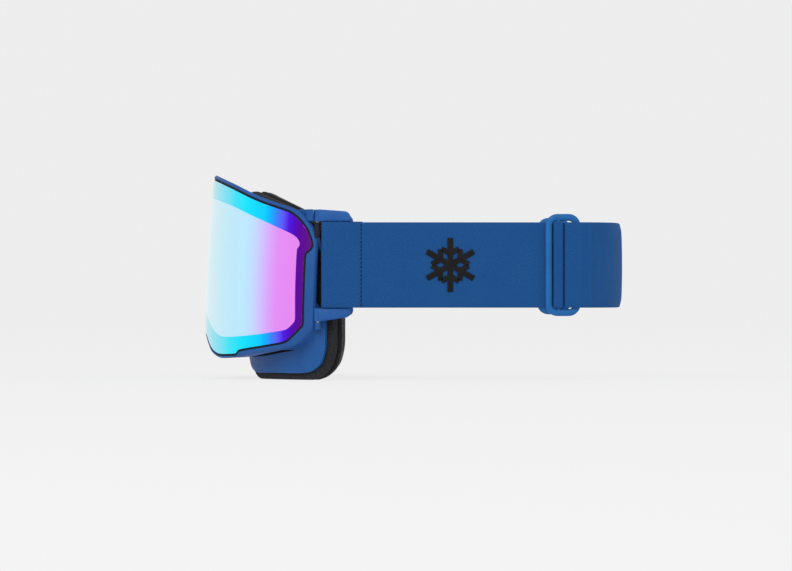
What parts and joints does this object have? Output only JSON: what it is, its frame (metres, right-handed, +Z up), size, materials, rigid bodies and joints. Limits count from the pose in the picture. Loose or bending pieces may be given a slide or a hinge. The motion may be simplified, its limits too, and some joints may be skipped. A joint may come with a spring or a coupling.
{
  "type": "ski goggles",
  "caption": "Frameless-look ski goggles with a magnetic cylindrical mirror lens, vented soft frame, layered face foam, swinging outriggers and an adjustable elastic strap.",
  "frame": {"origin": "on the floor plane under the middle of the whole object, lens to strap, with the goggles standing on the foam", "axes": "+Z up, the lens faces -Y, the strap runs back along +Y, the wearer's left is +X"},
  "size_m": [0.1784, 0.2249, 0.1098],
  "materials": {
    "frame_tpu": "satin moulded TPU, blue",
    "mirror_lens": "mirror-coated polycarbonate, from pale blue to pink by angle, with a cyan to violet printed border",
    "clear_lens": "clear anti-fog pane",
    "black_rubber": "matt black rubber",
    "steel": "nickel-plated",
    "charcoal_foam": "fine open-cell foam, charcoal",
    "black_fleece": "brushed fleece, black",
    "vent_foam": "thin reticulated foam, black",
    "outrigger_plastic": "satin nylon, blue",
    "webbing": "knitted elastic webbing, blue",
    "silicone": "silicone grip beads",
    "slider_plastic": "satin acetal, blue",
    "badge_rubber": "matt black moulded badge"
  },
  "bodies": {
    "root": {"frame": "frame_tpu", "lens_seal": "black_rubber", "face_foam_base": "charcoal_foam", "face_foam_comfort": "charcoal_foam", "face_fleece": "black_fleece", "frame_magnet_1": "steel", "frame_magnet_2": "steel", "frame_magnet_3": "steel", "frame_magnet_4": "steel", "frame_magnet_5": "steel", "frame_magnet_6": "steel", "vent_foam_top": "vent_foam", "vent_foam_low_left": "vent_foam", "vent_foam_low_right": "vent_foam", "vent_foam_side_left": "vent_foam", "vent_foam_side_right": "vent_foam", "hinge_pin_upper_left": "steel", "hinge_pin_lower_left": "steel", "hinge_pin_upper_right": "steel", "hinge_pin_lower_right": "steel", "front_strap_left": "webbing", "front_strap_right": "webbing", "emblem_left": "badge_rubber", "emblem_right": "badge_rubber"},
    "lens": {"lens_outer": "mirror_lens", "lens_inner": "clear_lens", "lens_spacer": "black_rubber", "lens_magnet_1": "steel", "lens_magnet_2": "steel", "lens_magnet_3": "steel", "lens_magnet_4": "steel", "lens_magnet_5": "steel", "lens_magnet_6": "steel"},
    "outrigger_left": {"outrigger_left": "outrigger_plastic", "strap_loop_left": "webbing"},
    "outrigger_right": {"outrigger_right": "outrigger_plastic", "strap_loop_right": "webbing"},
    "strap_rear": {"rear_strap": "webbing", "grip_bead_1": "silicone", "grip_bead_2": "silicone", "grip_bead_3": "silicone", "slider_left": "slider_plastic", "slider_right": "slider_plastic"}
  },
  "joints": [
    {"name": "lens_release", "type": "slide", "parent": "root", "child": "lens", "axis": [0, -1, 0], "range_m": [0, 0.04]},
    {"name": "outrigger_left_swing", "type": "hinge", "parent": "root", "child": "outrigger_left", "pos_m": [0.0835, -0.0505, 0.0608], "axis": [0, 0, -1], "range_deg": [-3, 14], "deforming": ["front_strap_left"]},
    {"name": "outrigger_right_swing", "type": "hinge", "parent": "root", "child": "outrigger_right", "pos_m": [-0.0835, -0.0505, 0.0608], "axis": [0, 0, 1], "range_deg": [-3, 14], "deforming": ["front_strap_right"]},
    {"name": "strap_adjust", "type": "slide", "parent": "root", "child": "strap_rear", "axis": [0, 1, 0], "range_m": [-0.01, 0.04], "deforming": ["front_strap_left", "front_strap_right"]}
  ]
}
